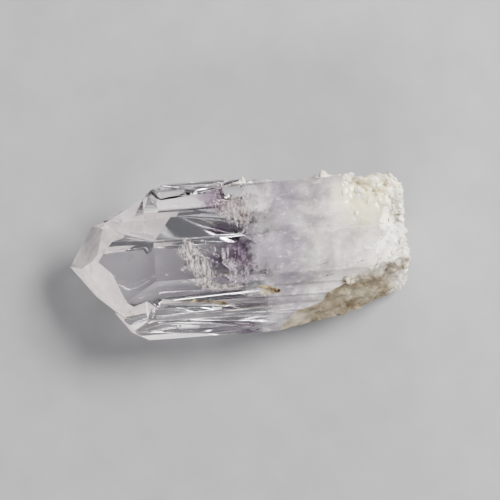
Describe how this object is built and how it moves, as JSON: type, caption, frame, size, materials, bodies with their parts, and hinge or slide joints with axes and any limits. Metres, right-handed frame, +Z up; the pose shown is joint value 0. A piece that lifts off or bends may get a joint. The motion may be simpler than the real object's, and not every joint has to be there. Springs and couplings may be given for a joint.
{
  "type": "amethyst quartz triplet",
  "caption": "Parallel-grown quartz crystals on one broken root: clear pointed ends, faint violet cloud inside, milky rough base.",
  "frame": {"origin": "middle of the stone's box, at the level of the surface it lies on", "axes": "+X along the crystals from their points to the root, +Y across them, +Z up from the surface it lies on"},
  "size_m": [0.0602, 0.0266, 0.0207],
  "materials": {
    "quartz": "clear, glossy crystal faces, turning milky and rough towards the root"
  },
  "bodies": {
    "root": {"quartz_triplet": "quartz"}
  },
  "joints": []
}
